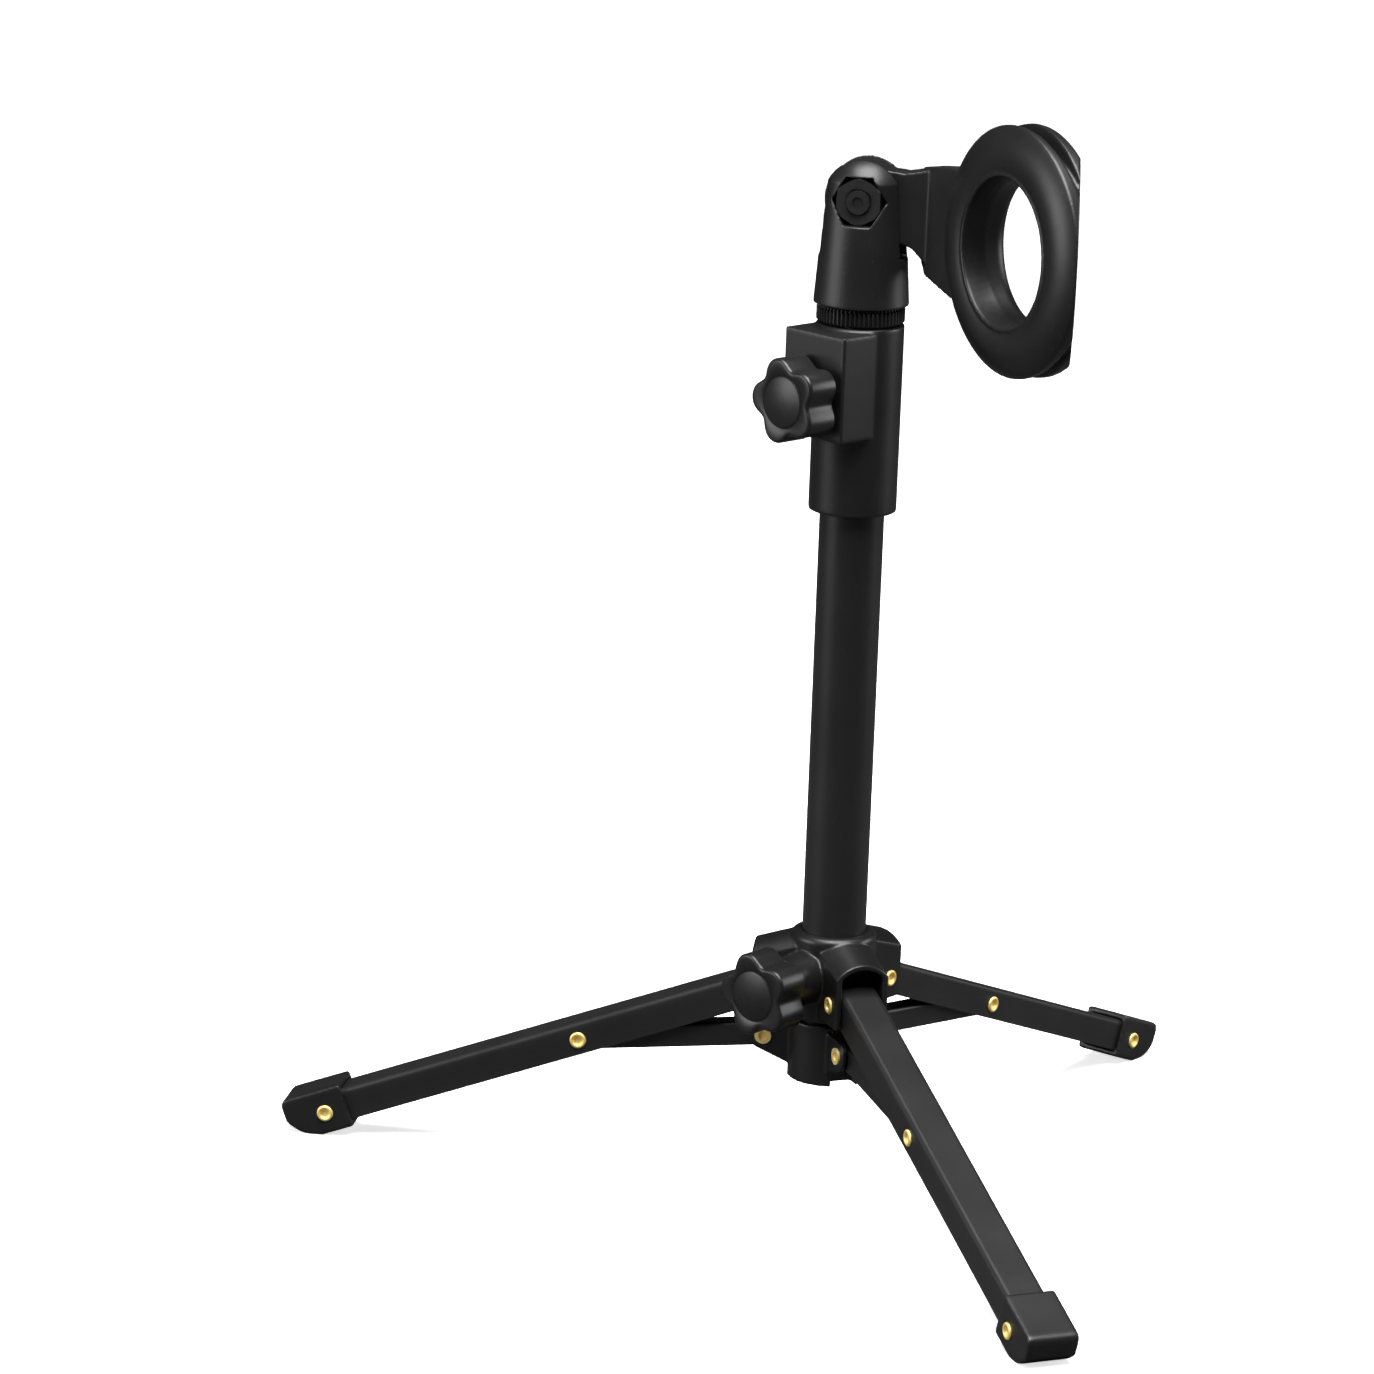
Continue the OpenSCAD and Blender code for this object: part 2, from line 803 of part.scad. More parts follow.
module leg_rivet_pair() {
    translate([leg_mid, 0, 0]) rivet(leg_w / 2);
    translate([leg_len, 0, 0]) rivet(foot_w / 2);
}

module leg(i) {
    color(black_paint) stand() on_leg(LEG_TURN[i]) leg_shape();
}

module strut(i) {
    color(black_paint) stand() on_strut(LEG_TURN[i]) strut_shape();
}

// The sole is cut level with the floor.
module foot(i) {
    color(black_plastic) stand() difference() {
        on_leg(LEG_TURN[i]) foot_shape();
        around(LEG_TURN[i]) translate([foot_r, 0, -foot_r])
            cube([foot_r, foot_r, 2 * foot_r], center = true);
    }
}

module leg_rivets(i) {
    color(gold) stand() on_leg(LEG_TURN[i]) leg_rivet_pair();
}

tube();
lower_hub();
strut_pins();
tube_sleeve();
sleeve_insert();
rod();
rod_glide();
rod_stud();
lock_ring();
sleeve_pad();
sleeve_knob();
sleeve_knob_stud();
clip_socket();
socket_insert();
tilt_bolt();
tilt_nut();
tilt_washer();
mic_clip();
leg_hub();
hub_rivets();
hub_insert();
hub_pad();
hub_knob();
hub_knob_stud();
leg(0);  // leg_front
leg(1);  // leg_right
leg(2);  // leg_left
strut(0);  // strut_front
strut(1);  // strut_right
strut(2);  // strut_left
foot(0);  // foot_front
foot(1);  // foot_right
foot(2);  // foot_left
leg_rivets(0);  // leg_rivets_front
leg_rivets(1);  // leg_rivets_right
leg_rivets(2);  // leg_rivets_left
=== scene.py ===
import json
import math

import bmesh
import bpy
from mathutils import Matrix, Vector


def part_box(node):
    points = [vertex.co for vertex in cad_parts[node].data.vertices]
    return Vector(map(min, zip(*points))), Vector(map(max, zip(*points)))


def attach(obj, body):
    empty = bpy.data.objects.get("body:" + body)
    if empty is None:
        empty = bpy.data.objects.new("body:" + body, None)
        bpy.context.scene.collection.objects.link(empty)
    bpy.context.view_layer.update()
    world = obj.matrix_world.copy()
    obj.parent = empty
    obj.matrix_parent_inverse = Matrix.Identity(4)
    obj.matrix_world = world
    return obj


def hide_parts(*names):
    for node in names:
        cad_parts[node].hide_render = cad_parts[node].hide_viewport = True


# The object's frame is in metres. Shapes below are written in millimetres and scaled by MM.
MM = 0.001
FREE = 99           # a radius that limits nothing
WELD = 0.004 * MM   # points nearer than this are one
SIDES = ("front", "right", "left")
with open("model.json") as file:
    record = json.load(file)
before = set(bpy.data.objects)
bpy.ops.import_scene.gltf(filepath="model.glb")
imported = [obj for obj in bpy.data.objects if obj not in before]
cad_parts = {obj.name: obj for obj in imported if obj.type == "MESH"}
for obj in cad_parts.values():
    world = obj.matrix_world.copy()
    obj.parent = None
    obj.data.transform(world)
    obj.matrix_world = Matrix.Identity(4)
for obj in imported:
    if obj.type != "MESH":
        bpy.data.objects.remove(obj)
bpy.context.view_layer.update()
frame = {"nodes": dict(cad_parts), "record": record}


# ---------------------------------------------------------------- places, read from the frame

def joint(name):
    return next(j for j in frame["record"]["behaviour"]["joints"] if j["name"] == name)


def pivot(name):
    return Vector(joint(name)["pos_m"])


def axis_of(name):
    return Vector(joint(name)["axis"]).normalized()


def middle(node):
    low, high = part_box(node)
    return (low + high) / 2


def basis(origin, x_axis, z_axis):
    """Frame in millimetres at a point, with its X and Z axes along the given directions."""
    x = x_axis.normalized()
    z = z_axis.normalized()
    y = z.cross(x)
    turned = Matrix((x, y, z)).transposed().to_4x4()
    return Matrix.Translation(origin) @ turned @ Matrix.Scale(MM, 4)


UP = Vector((0, 0, 1))
TUBE = Vector((middle("tube").x, middle("tube").y, 0))
HUB_Z = pivot("leg_front_fold").z


def knob_frame(which, node):
    """Z outwards along the knob's axis, from its back face, and X level."""
    out = axis_of(which + "_knob_turn")
    low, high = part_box(node)
    height = (low.z + high.z) / 2
    near = min((Vector(v.co) - TUBE).dot(out) for v in frame["nodes"][node].data.vertices)
    return basis(TUBE + out * near + UP * height, out.cross(UP), out)


def leg_frame(side):
    """X down the leg from its pivot, Y along the pivot, Z up."""
    start = pivot(f"leg_{side}_fold")
    along = pivot(f"strut_{side}_fold") - start
    return basis(start, along, along.cross(axis_of(f"leg_{side}_fold")))


# ---------------------------------------------------------------- mesh helpers

def to_object(name, bm):
    """Closes the bmesh into an object with outward normals."""
    bmesh.ops.remove_doubles(bm, verts=bm.verts, dist=WELD)
    bmesh.ops.recalc_face_normals(bm, faces=bm.faces)
    mesh = bpy.data.meshes.new(name)
    bm.to_mesh(mesh)
    bm.free()
    obj = bpy.data.objects.new(name, mesh)
    bpy.context.scene.collection.objects.link(obj)
    return obj


def skin_rings(bm, rings, closed_tube):
    """Joins rings of points with quads, and caps the ends unless the tube closes on itself."""
    loops = [[bm.verts.new(p) for p in ring] for ring in rings]
    count = len(loops[0])
    last = len(loops) if closed_tube else len(loops) - 1
    for i in range(last):
        a = loops[i]
        b = loops[(i + 1) % len(loops)]
        for k in range(count):
            bm.faces.new((a[k], a[(k + 1) % count], b[(k + 1) % count], b[k]))
    if not closed_tube:
        bm.faces.new(loops[0])
        bm.faces.new(reversed(loops[-1]))


def turned(name, at, stations, radius_at, steps, hollow=False):
    """Turns a shape about Z whose radius may vary with the angle.

    A station is (height, inset, cap): there the outline is drawn in by inset and held
    within cap. The stations of a hollow shape are a closed loop.
    """
    bm = bmesh.new()
    rings = []
    for h, inset, cap in stations:
        ring = []
        for i in range(steps):
            a = 2 * math.pi * i / steps
            r = min(radius_at(a) - inset, cap)
            ring.append(at @ Vector((r * math.cos(a), r * math.sin(a), h)))
        rings.append(ring)
    skin_rings(bm, rings, hollow)
    return to_object(name, bm)


def lathe(name, at, outline, steps):
    """Turns an outline of (radius, height) about Z."""
    return turned(name, at, [(h, 0, r) for r, h in outline], lambda angle: FREE, steps)


def arc(cx, cy, r, start, end, count):
    """Points on an arc, by angles in degrees."""
    angles = (math.radians(start + (end - start) * i / (count - 1)) for i in range(count))
    return [(cx + r * math.cos(a), cy + r * math.sin(a)) for a in angles]


def join(name, objects):
    """One object holding every face of the given ones."""
    bm = bmesh.new()
    for obj in objects:
        bm.from_mesh(obj.data)
        bpy.data.objects.remove(obj)
    mesh = bpy.data.meshes.new(name)
    bm.to_mesh(mesh)
    bm.free()
    obj = bpy.data.objects.new(name, mesh)
    bpy.context.scene.collection.objects.link(obj)
    return obj


def baked(obj):
    """Puts the result of the object's modifiers into its mesh."""
    graph = bpy.context.evaluated_depsgraph_get()
    mesh = bpy.data.meshes.new_from_object(obj.evaluated_get(graph))
    obj.modifiers.clear()
    obj.data = mesh
    return obj


def moulded(obj, voxel, passes):
    """Fuses the object into one skin with softly rounded edges, as a moulding has."""
    step = obj.modifiers.new("fuse", "REMESH")
    step.mode = "VOXEL"
    step.voxel_size = voxel * MM
    relax = obj.modifiers.new("soften", "SMOOTH")
    relax.factor = 0.5
    relax.iterations = passes
    bpy.context.view_layer.update()
    return baked(obj)


def copy_of(node, name):
    """A loose copy of a CAD node's mesh, to work into a finished piece."""
    mesh = frame["nodes"][node].data.copy()
    mesh.materials.clear()
    obj = bpy.data.objects.new(name, mesh)
    bpy.context.scene.collection.objects.link(obj)
    return obj


def smooth_shade(obj, angle=None):
    for face in obj.data.polygons:
        face.use_smooth = True
    if angle is not None:
        obj.data.set_sharp_from_angle(angle=math.radians(angle))


def finish_piece(obj, material, slot, body, *nodes):
    """Dresses a piece, hides the CAD nodes it replaces and hangs it on its body."""
    obj.data.materials.clear()
    obj.data.materials.append(material)
    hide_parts(*nodes)
    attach(obj, body)


# ---------------------------------------------------------------- materials

DRIFT_SCALE = 60        # patches per metre in which the shade and the gloss drift
DRIFT_DETAIL = 5
DRIFT_DARK = 0.3        # the drift's values that give the dark and the light shade
DRIFT_LIGHT = 0.7
GRAIN_DETAIL = 3
GRAIN_STRENGTH = 0.5
HIGHLIGHT_STARTS = 0.52      # pointiness at which the painted highlight on an edge begins
HIGHLIGHT_FULL = 0.62
HIGHLIGHT_MOST = 0.35
HIGHLIGHT_LIGHTER = 2.2


def principled(name):
    mat = bpy.data.materials.new(name)
    mat.use_nodes = True
    return mat, mat.node_tree.nodes, mat.node_tree.links


def grainy(name, dark, light, rough, grain, depth, spread=0.06, metallic=0.0, specular=0.5):
    """Colour that drifts between two shades, with a gloss that drifts and a fine surface grain.

    The grain's size and depth are in millimetres.
    """
    mat, nodes, links = principled(name)
    shader = nodes["Principled BSDF"]
    shader.inputs["Metallic"].default_value = metallic
    shader.inputs["Specular IOR Level"].default_value = specular
    place = nodes.new("ShaderNodeTexCoord")
    drift = nodes.new("ShaderNodeTexNoise")
    drift.inputs["Scale"].default_value = DRIFT_SCALE
    drift.inputs["Detail"].default_value = DRIFT_DETAIL
    links.new(place.outputs["Object"], drift.inputs["Vector"])
    shade = nodes.new("ShaderNodeValToRGB")
    shade.color_ramp.elements[0].position = DRIFT_DARK
    shade.color_ramp.elements[0].color = (*dark, 1)
    shade.color_ramp.elements[1].position = DRIFT_LIGHT
    shade.color_ramp.elements[1].color = (*light, 1)
    links.new(drift.outputs["Fac"], shade.inputs["Fac"])
    # painted highlight: the sharpest edges are lightened in the base colour
    highlighted = painted_edge_highlight(nodes, links, shade.outputs["Color"], light)
    links.new(highlighted, shader.inputs["Base Color"])
    speckle = nodes.new("ShaderNodeTexNoise")
    speckle.inputs["Scale"].default_value = 1 / (grain * MM)
    speckle.inputs["Detail"].default_value = GRAIN_DETAIL
    links.new(place.outputs["Object"], speckle.inputs["Vector"])
    gloss = nodes.new("ShaderNodeMapRange")
    gloss.inputs["To Min"].default_value = rough - spread
    gloss.inputs["To Max"].default_value = rough + spread
    links.new(drift.outputs["Fac"], gloss.inputs["Value"])
    links.new(gloss.outputs["Result"], shader.inputs["Roughness"])
    bump = nodes.new("ShaderNodeBump")
    bump.inputs["Strength"].default_value = GRAIN_STRENGTH
    bump.inputs["Distance"].default_value = depth * MM
    links.new(speckle.outputs["Fac"], bump.inputs["Height"])
    links.new(bump.outputs["Normal"], shader.inputs["Normal"])
    return mat


def painted_edge_highlight(nodes, links, colour, light):
    """Paints a faint highlight on the sharpest edges by lightening their colour, standing in for
    the light their rounding catches.
    """
    sharp = nodes.new("ShaderNodeNewGeometry")
    mask = nodes.new("ShaderNodeMapRange")
    mask.inputs["From Min"].default_value = HIGHLIGHT_STARTS
    mask.inputs["From Max"].default_value = HIGHLIGHT_FULL
    mask.inputs["To Max"].default_value = HIGHLIGHT_MOST
    links.new(sharp.outputs["Pointiness"], mask.inputs["Value"])
    mix = nodes.new("ShaderNodeMix")
    mix.data_type = "RGBA"
    links.new(mask.outputs["Result"], mix.inputs["Factor"])
    links.new(colour, mix.inputs["A"])
    mix.inputs["B"].default_value = (*(min(1, c * HIGHLIGHT_LIGHTER) for c in light), 1)
    return mix.outputs["Result"]


def grey(value):
    """A grey with a trace less green and blue."""
    return (value, value * 0.98, value * 0.99)


hub_plastic = grainy("hub_plastic", grey(0.006), grey(0.009), rough=0.36, grain=0.35, depth=0.012,
                     specular=0.4)
clip_plastic = grainy("clip_plastic", grey(0.006), grey(0.009), rough=0.4, grain=0.22, depth=0.03,
                      specular=0.4)
cap_plastic = grainy("cap_plastic", grey(0.006), grey(0.01), rough=0.4, grain=0.3, depth=0.015,
                     specular=0.4)
tube_paint = grainy("tube_paint", grey(0.007), grey(0.009), rough=0.36, grain=0.5, depth=0.006,
                    specular=0.4)
leg_paint = grainy("leg_paint", grey(0.007), grey(0.01), rough=0.38, grain=0.3, depth=0.01,
                   specular=0.4)
rivet_brass = grainy("rivet_brass", (0.9, 0.62, 0.16), (1.0, 0.8, 0.32), rough=0.5, grain=0.4,
                     depth=0.003, metallic=0.55)
insert_brass = grainy("insert_brass", (0.7, 0.5, 0.2), (0.78, 0.58, 0.26), rough=0.3, grain=0.15,
                      depth=0.01, metallic=1.0)
black_steel = grainy("black_steel", grey(0.03), grey(0.05), rough=0.3, grain=0.12, depth=0.006,
                     metallic=0.7)
bright_steel = grainy("bright_steel", grey(0.5), grey(0.6), rough=0.28, grain=0.1, depth=0.006,
                      metallic=1.0)


# ---------------------------------------------------------------- CAD pieces kept as they are

FLAT_ENOUGH = math.radians(0.5)     # faces that differ less are merged
EDGE_ANGLE = math.radians(35)       # sharper edges than this are broken
EDGE_STEPS = 3


def kept(node, material, bevel):
    """A CAD node that stays visible: its faces are merged, its edges broken and its finish set."""
    obj = frame["nodes"][node]
    obj.data.materials.clear()
    obj.data.materials.append(material)
    merge = obj.modifiers.new("merge", "DECIMATE")
    merge.decimate_type = "DISSOLVE"
    merge.angle_limit = FLAT_ENOUGH
    soften = obj.modifiers.new("edges", "BEVEL")
    soften.width = bevel * MM
    soften.segments = EDGE_STEPS
    soften.limit_method = "ANGLE"
    soften.angle_limit = EDGE_ANGLE
    soften.use_clamp_overlap = True
    soften.harden_normals = True
    smooth_shade(obj)


def kept_pieces():
    kept("tube", tube_paint, bevel=0.15)
    for side in SIDES:
        kept("leg_" + side, leg_paint, bevel=0.22)
        kept("strut_" + side, leg_paint, bevel=0.2)
    for node in ("rod", "rod_stud"):
        kept(node, bright_steel, bevel=0.15)
    kept("rod_glide", hub_plastic, bevel=0.3)
    for which in ("hub", "sleeve"):
        kept(which + "_knob_stud", bright_steel, bevel=0.15)
        kept(which + "_pad", black_steel, bevel=0.1)
    for node in ("sleeve_insert", "hub_insert", "socket_insert"):
        kept(node, insert_brass, bevel=0.15)
    kept("strut_pins", rivet_brass, bevel=0.12)
    kept("tilt_washer", bright_steel, bevel=0.08)
    kept("tilt_bolt", black_steel, bevel=0.2)


# ---------------------------------------------------------------- mouldings

def moulding(node, name, material, slot, body, voxel, passes):
    """A softened copy of a CAD node, which takes that node's place."""
    obj = moulded(copy_of(node, name), voxel, passes)
    smooth_shade(obj)
    finish_piece(obj, material, slot, body, node)


def lower_hub():
    moulding("lower_hub", "lower_hub_moulding", hub_plastic, "hub_plastic", "stand",
             voxel=0.3, passes=4)


def leg_hub():
    moulding("leg_hub", "leg_hub_moulding", hub_plastic, "hub_plastic", "hub",
             voxel=0.25, passes=5)


def sleeve():
    moulding("tube_sleeve", "sleeve_moulding", hub_plastic, "hub_plastic", "stand",
             voxel=0.3, passes=9)


def socket():
    moulding("clip_socket", "socket_moulding", clip_plastic, "hub_plastic", "socket",
             voxel=0.25, passes=4)


def clip():
    moulding("mic_clip", "clip_moulding", clip_plastic, "clip_plastic", "clip",
             voxel=0.3, passes=3)


def feet():
    for side in SIDES:
        moulding("foot_" + side, "foot_cap_" + side, cap_plastic, "cap_plastic", "leg_" + side,
                 voxel=0.3, passes=26)


# ---------------------------------------------------------------- knobs

KNOB_MEAN_R = 8.5       # the lobed outline swings about this radius
KNOB_LOBE = 1.05
KNOB_FLATTEN = 0.12     # a second wave that broadens the lobes
KNOB_LOBES = 5
KNOB_STEPS = 240
KNOB_NECK_R = 5.0       # the neck behind the lobes
KNOB_NECK = 0.8
KNOB_NECK_EDGE_R = 4.7
KNOB_NECK_EDGE = 0.05
KNOB_BACK_EDGE = 0.5    # rounding of the lobes behind and in front
KNOB_EDGE = 0.8
KNOB_DEPTH = 9.4
KNOB_DISC_R = 5.5       # the domed disc in the middle of the face
KNOB_DISC_RISE = 0.7
KNOB_DISC_STEPS = 13
KNOB_GROOVE = 0.12      # the fine groove round the disc
KNOB_GROOVE_OUT = 0.25
KNOB_GROOVE_IN = 0.1
KNOB_TIP_R = 0.05


def knob_radius(angle):
    return (KNOB_MEAN_R + KNOB_LOBE * math.cos(KNOB_LOBES * angle)
            - KNOB_FLATTEN * math.cos(2 * KNOB_LOBES * angle))


def knob(which):
    at = knob_frame(which, which + "_knob")
    face = KNOB_DEPTH - KNOB_DISC_RISE
    stations = [(0, 0, KNOB_NECK_EDGE_R), (KNOB_NECK_EDGE, 0, KNOB_NECK_R),
                (KNOB_NECK, 0, KNOB_NECK_R), (KNOB_NECK, KNOB_BACK_EDGE, FREE)]
    for x, y in arc(0, 0, KNOB_BACK_EDGE, -90, 0, 5):
        stations.append((KNOB_NECK + KNOB_BACK_EDGE + y, KNOB_BACK_EDGE - x, FREE))
    for x, y in arc(0, 0, KNOB_EDGE, 0, 90, 9):
        stations.append((face - KNOB_EDGE + y, KNOB_EDGE - x, FREE))
    stations.append((face, 0, KNOB_DISC_R + KNOB_GROOVE_OUT))
    stations.append((face - KNOB_GROOVE, 0, KNOB_DISC_R + KNOB_GROOVE_IN))
    for i in range(KNOB_DISC_STEPS):
        r = KNOB_DISC_R * (1 - i / KNOB_DISC_STEPS)
        stations.append((face + KNOB_DISC_RISE * (1 - (r / KNOB_DISC_R) ** 2), 0, r))
    stations.append((KNOB_DEPTH, 0, KNOB_TIP_R))
    obj = turned(f"{which}_star_knob", at, stations, knob_radius, KNOB_STEPS)
    smooth_shade(obj, 50)
    finish_piece(obj, hub_plastic, "hub_plastic", which + "_screw", which + "_knob")


# ---------------------------------------------------------------- lock ring, nut and rivets

RING_TEETH = 60
RING_TOOTH = 0.28
RING_TOOTH_CREST = 1.6  # how much the crest and root of a tooth are flattened
RING_TOOTH_STEPS = 10
RING_HOLE_R = 4.05
RING_EDGE_IN = 0.7      # the chamfer, measured inwards and along the axis
RING_EDGE_UP = 0.45


def lock_ring():
    low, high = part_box("lock_ring")
    radius = (high.x - low.x) / 2 / MM
    tall = (high.z - low.z) / MM
    at = basis(TUBE + UP * low.z, Vector((1, 0, 0)), UP)

    def tooth(angle):
        wave = max(-1, min(1, RING_TOOTH_CREST * math.cos(RING_TEETH * angle)))
        return radius - RING_TOOTH + RING_TOOTH * wave

    stations = [(0, 0, RING_HOLE_R), (0, 0, radius - RING_EDGE_IN), (RING_EDGE_UP, 0, FREE),
                (tall - RING_EDGE_UP, 0, FREE), (tall, 0, radius - RING_EDGE_IN),
                (tall, 0, RING_HOLE_R)]
    obj = turned("knurled_ring", at, stations, tooth, RING_TEETH * RING_TOOTH_STEPS, hollow=True)
    smooth_shade(obj, 35)
    finish_piece(obj, hub_plastic, "hub_plastic", "lock", "lock_ring")


NUT_BORE_R = 2.5
NUT_FLAT = 4.7          # from the middle to a flat
NUT_CORNER = 1.13       # the corners are cut off at this many times that
NUT_CHAMFER = 1.04      # and chamfered back to this many times
NUT_BACK_EDGE = 0.35
NUT_FRONT_EDGE = 0.4
NUT_MOUTH = 0.5         # the countersink of the thread's mouth
NUT_MOUTH_DEPTH = 0.35
NUT_STEPS = 180


def nut():
    out = axis_of("clip_tilt")
    start = pivot("clip_tilt")
    reach = [(v.co - start).dot(out) for v in frame["nodes"]["tilt_nut"].data.vertices]
    thick = (max(reach) - min(reach)) / MM
    at = basis(start + out * min(reach), UP, out)

    def hexagon(angle):
        turn = math.fmod(angle, math.pi / 3) - math.pi / 6
        return min(NUT_FLAT / math.cos(turn), NUT_FLAT * NUT_CORNER)

    cap = NUT_FLAT * NUT_CHAMFER
    stations = [(0, 0, NUT_BORE_R), (0, 0, cap), (NUT_BACK_EDGE, 0, FREE),
                (thick - NUT_FRONT_EDGE, 0, FREE), (thick, 0, cap),
                (thick, 0, NUT_BORE_R + NUT_MOUTH), (thick - NUT_MOUTH_DEPTH, 0, NUT_BORE_R)]
    obj = turned("hex_nut", at, stations, hexagon, NUT_STEPS, hollow=True)
    smooth_shade(obj, 25)
    finish_piece(obj, black_steel, "black_steel", "socket", "tilt_nut")


RIVET_R = 1.5
RIVET_HEAD_R = 1.85
RIVET_HEAD = 0.5
RIVET_BEAD = 0.42       # radius of the rolled edge
RIVET_BEAD_UP = 0.06
RIVET_SHANK = 0.3       # the shank starts this far below the seat
RIVET_HOLLOW_R = 0.95   # the hollow middle of the head, at its mouth and its floor
RIVET_HOLLOW = 0.05
RIVET_FLOOR_R = 0.85
RIVET_FLOOR = 0.12
RIVET_STEPS = 48


def rivet_end(seat):
    """Outline of one end of a tubular rivet, from its shank out to its rolled head."""
    outline = [(RIVET_R, seat - RIVET_SHANK), (RIVET_R, seat)]
    outline += arc(RIVET_HEAD_R - RIVET_BEAD, seat + RIVET_BEAD_UP, RIVET_BEAD, 0, 160, 11)
    outline += [(RIVET_HOLLOW_R, seat - RIVET_HOLLOW), (RIVET_FLOOR_R, seat - RIVET_FLOOR),
                (0.0, seat - RIVET_FLOOR)]
    return outline


def rivet(at, half):
    """A rivet across Y, seated half a width either side."""
    across = at @ Matrix.Rotation(math.radians(90), 4, "X")
    one = rivet_end(half)
    other = [(r, -h) for r, h in reversed(one)]
    return lathe("rivet", across, other + one, RIVET_STEPS)


def rivet_seat(node, at, near=-math.inf, far=math.inf):
    """Half the width between the seats of the rivet whose X in the frame is in the range."""
    back = at.inverted()
    points = (back @ v.co for v in frame["nodes"][node].data.vertices)
    return max(p.y for p in points if near < p.x < far) - RIVET_HEAD


def leg_rivets(side):
    node = "leg_rivets_" + side
    leg = leg_frame(side)
    back = leg.inverted()
    middle_x = (pivot(f"strut_{side}_fold") - pivot(f"leg_{side}_fold")).length / MM
    foot_x = max((back @ v.co).x for v in frame["nodes"][node].data.vertices) - RIVET_HEAD_R
    between = (middle_x + foot_x) / 2
    middle_rivet = leg @ Matrix.Translation((middle_x, 0, 0))
    foot_rivet = leg @ Matrix.Translation((foot_x, 0, 0))
    pair = [rivet(middle_rivet, rivet_seat(node, leg, far=between)),
            rivet(foot_rivet, rivet_seat(node, leg, near=between))]
    obj = join("rivet_pair_" + side, pair)
    smooth_shade(obj, 60)
    finish_piece(obj, rivet_brass, "rivet_brass", "leg_" + side, node)


def hub_rivets():
    rivets = []
    for side in SIDES:
        out = axis_of(f"leg_{side}_fold").cross(UP)
        at = basis(pivot(f"leg_{side}_fold"), out, UP)
        rivets.append(rivet(at, rivet_seat("hub_rivets", at, -2 * RIVET_R, 2 * RIVET_R)))
    obj = join("hub_rivet_set", rivets)
    smooth_shade(obj, 60)
    finish_piece(obj, rivet_brass, "rivet_brass", "hub", "hub_rivets")


# ---------------------------------------------------------------- camera, floor and light

CAMERA_TURN = math.radians(-113.03)      # compass direction from the tube to the camera
CAMERA_AWAY = 1111.9 * MM                # level distance from the tube
CAMERA_UP = 355.5 * MM                   # height above the leg pivots
CAMERA_YAW = math.radians(-1.76)
CAMERA_PITCH = math.radians(14.57)
CAMERA_ROLL = math.radians(2.04)
CAMERA_NEAR = 0.05
CAMERA_FAR = 20
LENS_MM = 138.6
SENSOR_MM = 36
ROOM_LIGHT = 0.03
SWEEP_FRONT = 3.0                        # the paper sweep, in metres
SWEEP_BACK = 1.5
SWEEP_R = 1.0
SWEEP_HIGH = 4.0
SWEEP_HALF = 5.0
SWEEP_CURVE_STEPS = 15
SWEEP_ROUGH = 0.9
SWEEP_WHITE = 0.95                       # the paper's colour as the camera sees it
SWEEP_GLOW = 0.7
SWEEP_BOUNCE = 0.07                      # its colour in the light it throws back
AIM_UP = 0.12                            # the lamps face the middle of the stand's height


def camera():
    data = bpy.data.cameras.new("camera")
    data.lens = LENS_MM
    data.sensor_width = SENSOR_MM
    data.clip_start = CAMERA_NEAR
    data.clip_end = CAMERA_FAR
    cam = bpy.data.objects.new("camera", data)
    bpy.context.scene.collection.objects.link(cam)
    away = Vector((math.cos(CAMERA_TURN), math.sin(CAMERA_TURN), 0)) * CAMERA_AWAY
    spot = Matrix.Translation(TUBE + away + UP * (HUB_Z + CAMERA_UP))
    facing = Matrix.Rotation(CAMERA_TURN + math.pi / 2 - CAMERA_YAW, 4, "Z")
    tilt = Matrix.Rotation(math.pi / 2 - CAMERA_PITCH, 4, "X")
    roll = Matrix.Rotation(CAMERA_ROLL, 4, "Z")
    cam.matrix_world = spot @ facing @ tilt @ roll
    bpy.context.scene.camera = cam


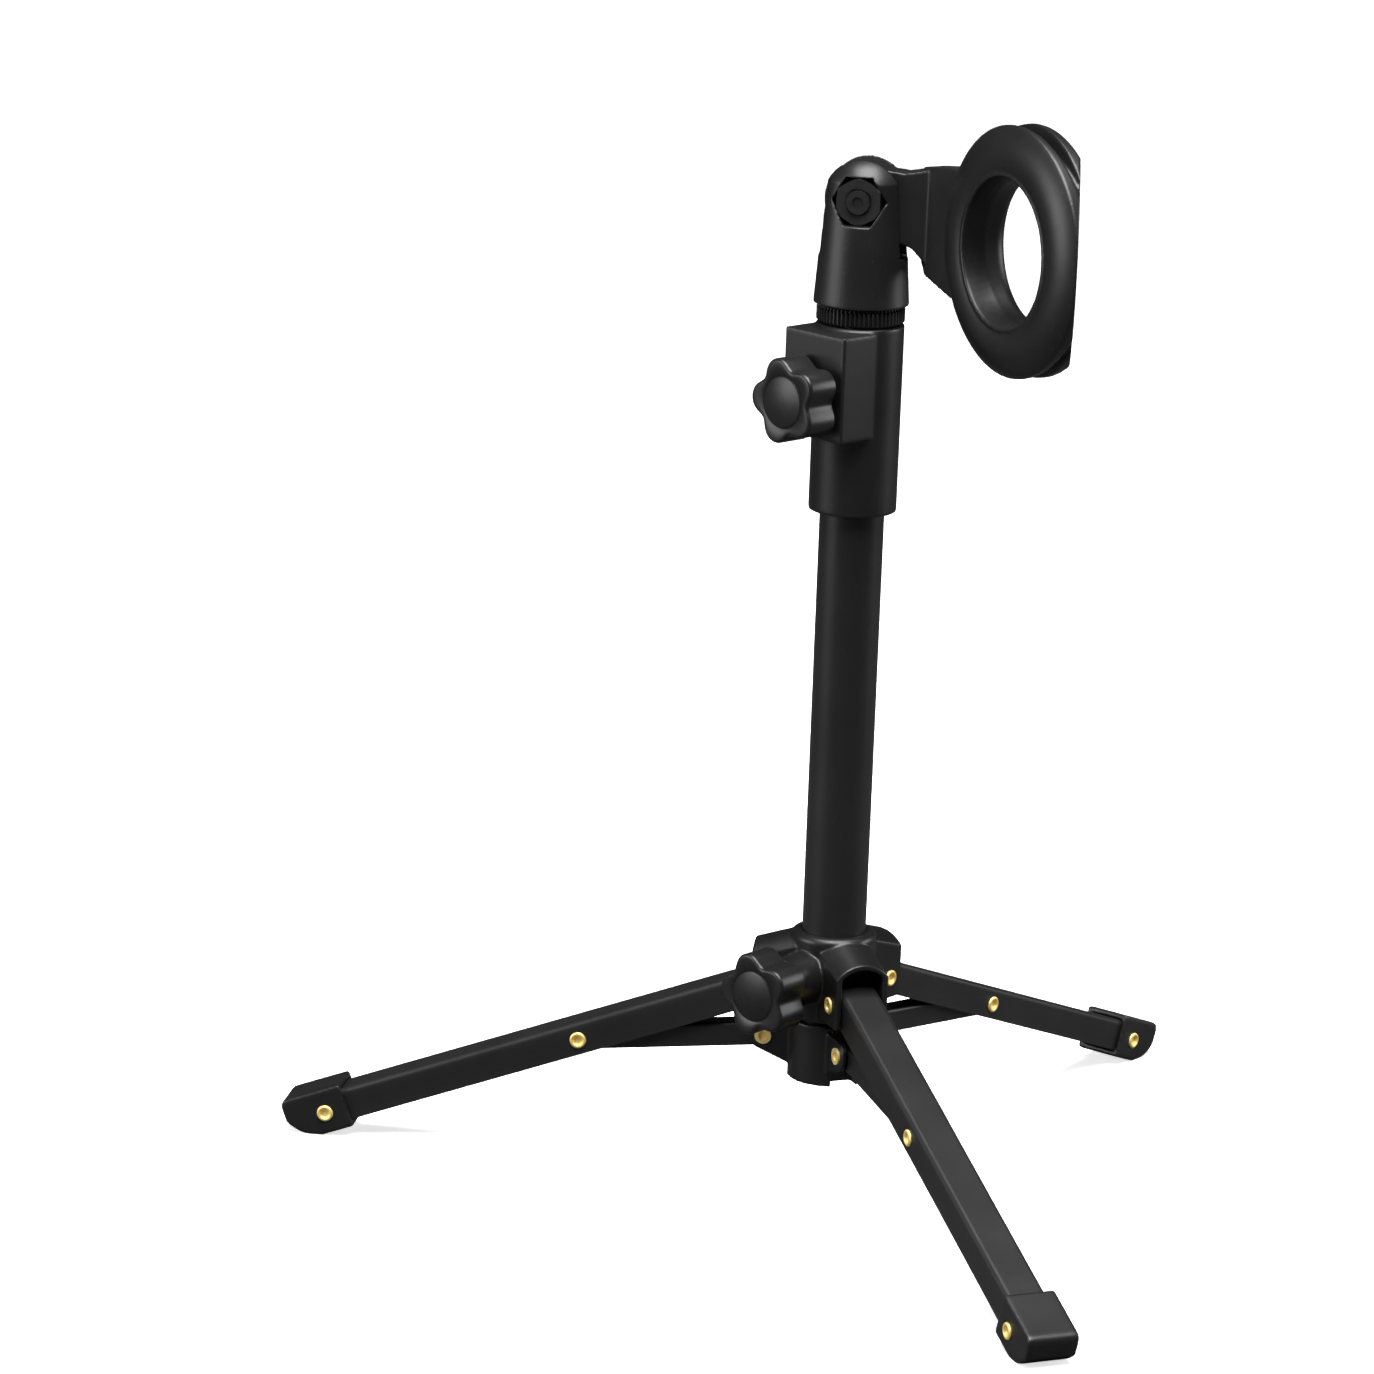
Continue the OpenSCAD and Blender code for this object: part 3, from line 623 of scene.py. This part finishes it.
def floor():
    """A white sweep: level under the stand, then curving up behind it."""
    bm = bmesh.new()
    at = Matrix.Rotation(CAMERA_TURN + math.pi, 4, "Z")
    profile = [(-SWEEP_FRONT, 0)]
    profile += arc(SWEEP_BACK, SWEEP_R, SWEEP_R, -90, 0, SWEEP_CURVE_STEPS + 1)
    profile.append((SWEEP_BACK + SWEEP_R, SWEEP_HIGH))
    rows = [[bm.verts.new(at @ Vector((x, side * SWEEP_HALF, z))) for side in (-1, 1)]
            for x, z in profile]
    for near, far in zip(rows, rows[1:]):
        bm.faces.new((near[0], near[1], far[1], far[0]))
    mesh = bpy.data.meshes.new("sweep")
    bm.to_mesh(mesh)
    bm.free()
    obj = bpy.data.objects.new("sweep", mesh)
    bpy.context.scene.collection.objects.link(obj)
    smooth_shade(obj)
    mat, nodes, links = principled("sweep")
    shader = nodes["Principled BSDF"]
    shader.inputs["Roughness"].default_value = SWEEP_ROUGH
    shader.inputs["Specular IOR Level"].default_value = 0
    # The paper is white to the camera but throws little light back at the black stand.
    seen = nodes.new("ShaderNodeLightPath")
    shade = nodes.new("ShaderNodeMapRange")
    shade.inputs["To Min"].default_value = SWEEP_BOUNCE
    shade.inputs["To Max"].default_value = SWEEP_WHITE
    links.new(seen.outputs["Is Camera Ray"], shade.inputs["Value"])
    links.new(shade.outputs["Result"], shader.inputs["Base Color"])
    glow = nodes.new("ShaderNodeMapRange")
    glow.inputs["To Max"].default_value = SWEEP_GLOW
    links.new(seen.outputs["Is Camera Ray"], glow.inputs["Value"])
    links.new(glow.outputs["Result"], shader.inputs["Emission Strength"])
    shader.inputs["Emission Color"].default_value = (1, 1, 1, 1)
    mesh.materials.append(mat)


def softbox(name, place, size, power):
    """A square lamp that faces the stand."""
    data = bpy.data.lights.new(name, "AREA")
    data.energy = power
    data.size = size
    lamp = bpy.data.objects.new(name, data)
    bpy.context.scene.collection.objects.link(lamp)
    lamp.location = place
    aim = UP * AIM_UP - lamp.location
    lamp.rotation_euler = aim.to_track_quat("-Z", "Y").to_euler()


def from_camera(turn, away, up):
    """A place in metres, turned in degrees from the camera's direction about the tube."""
    direction = CAMERA_TURN + math.radians(turn)
    return TUBE + Vector((math.cos(direction), math.sin(direction), 0)) * away + UP * up


def lights():
    """Dim room light, a softbox overhead and one on each side of the camera."""
    world = bpy.data.worlds.new("studio")
    bpy.context.scene.world = world
    world.use_nodes = True
    background = world.node_tree.nodes["Background"]
    background.inputs["Color"].default_value = (1, 1, 1, 1)
    background.inputs["Strength"].default_value = ROOM_LIGHT
    softbox("overhead", from_camera(turn=10, away=0.35, up=1.3), size=1.0, power=50)
    softbox("left_side", from_camera(turn=-72, away=1.2, up=0.4), size=0.7, power=9)
    softbox("right_side", from_camera(turn=100, away=1.2, up=0.4), size=0.6, power=6)
    bpy.context.scene.view_settings.view_transform = "Standard"


kept_pieces()
lower_hub()
leg_hub()
sleeve()
socket()
clip()
feet()
knob("hub")
knob("sleeve")
lock_ring()
nut()
for side in SIDES:
    leg_rivets(side)
hub_rivets()
camera()
floor()
lights()
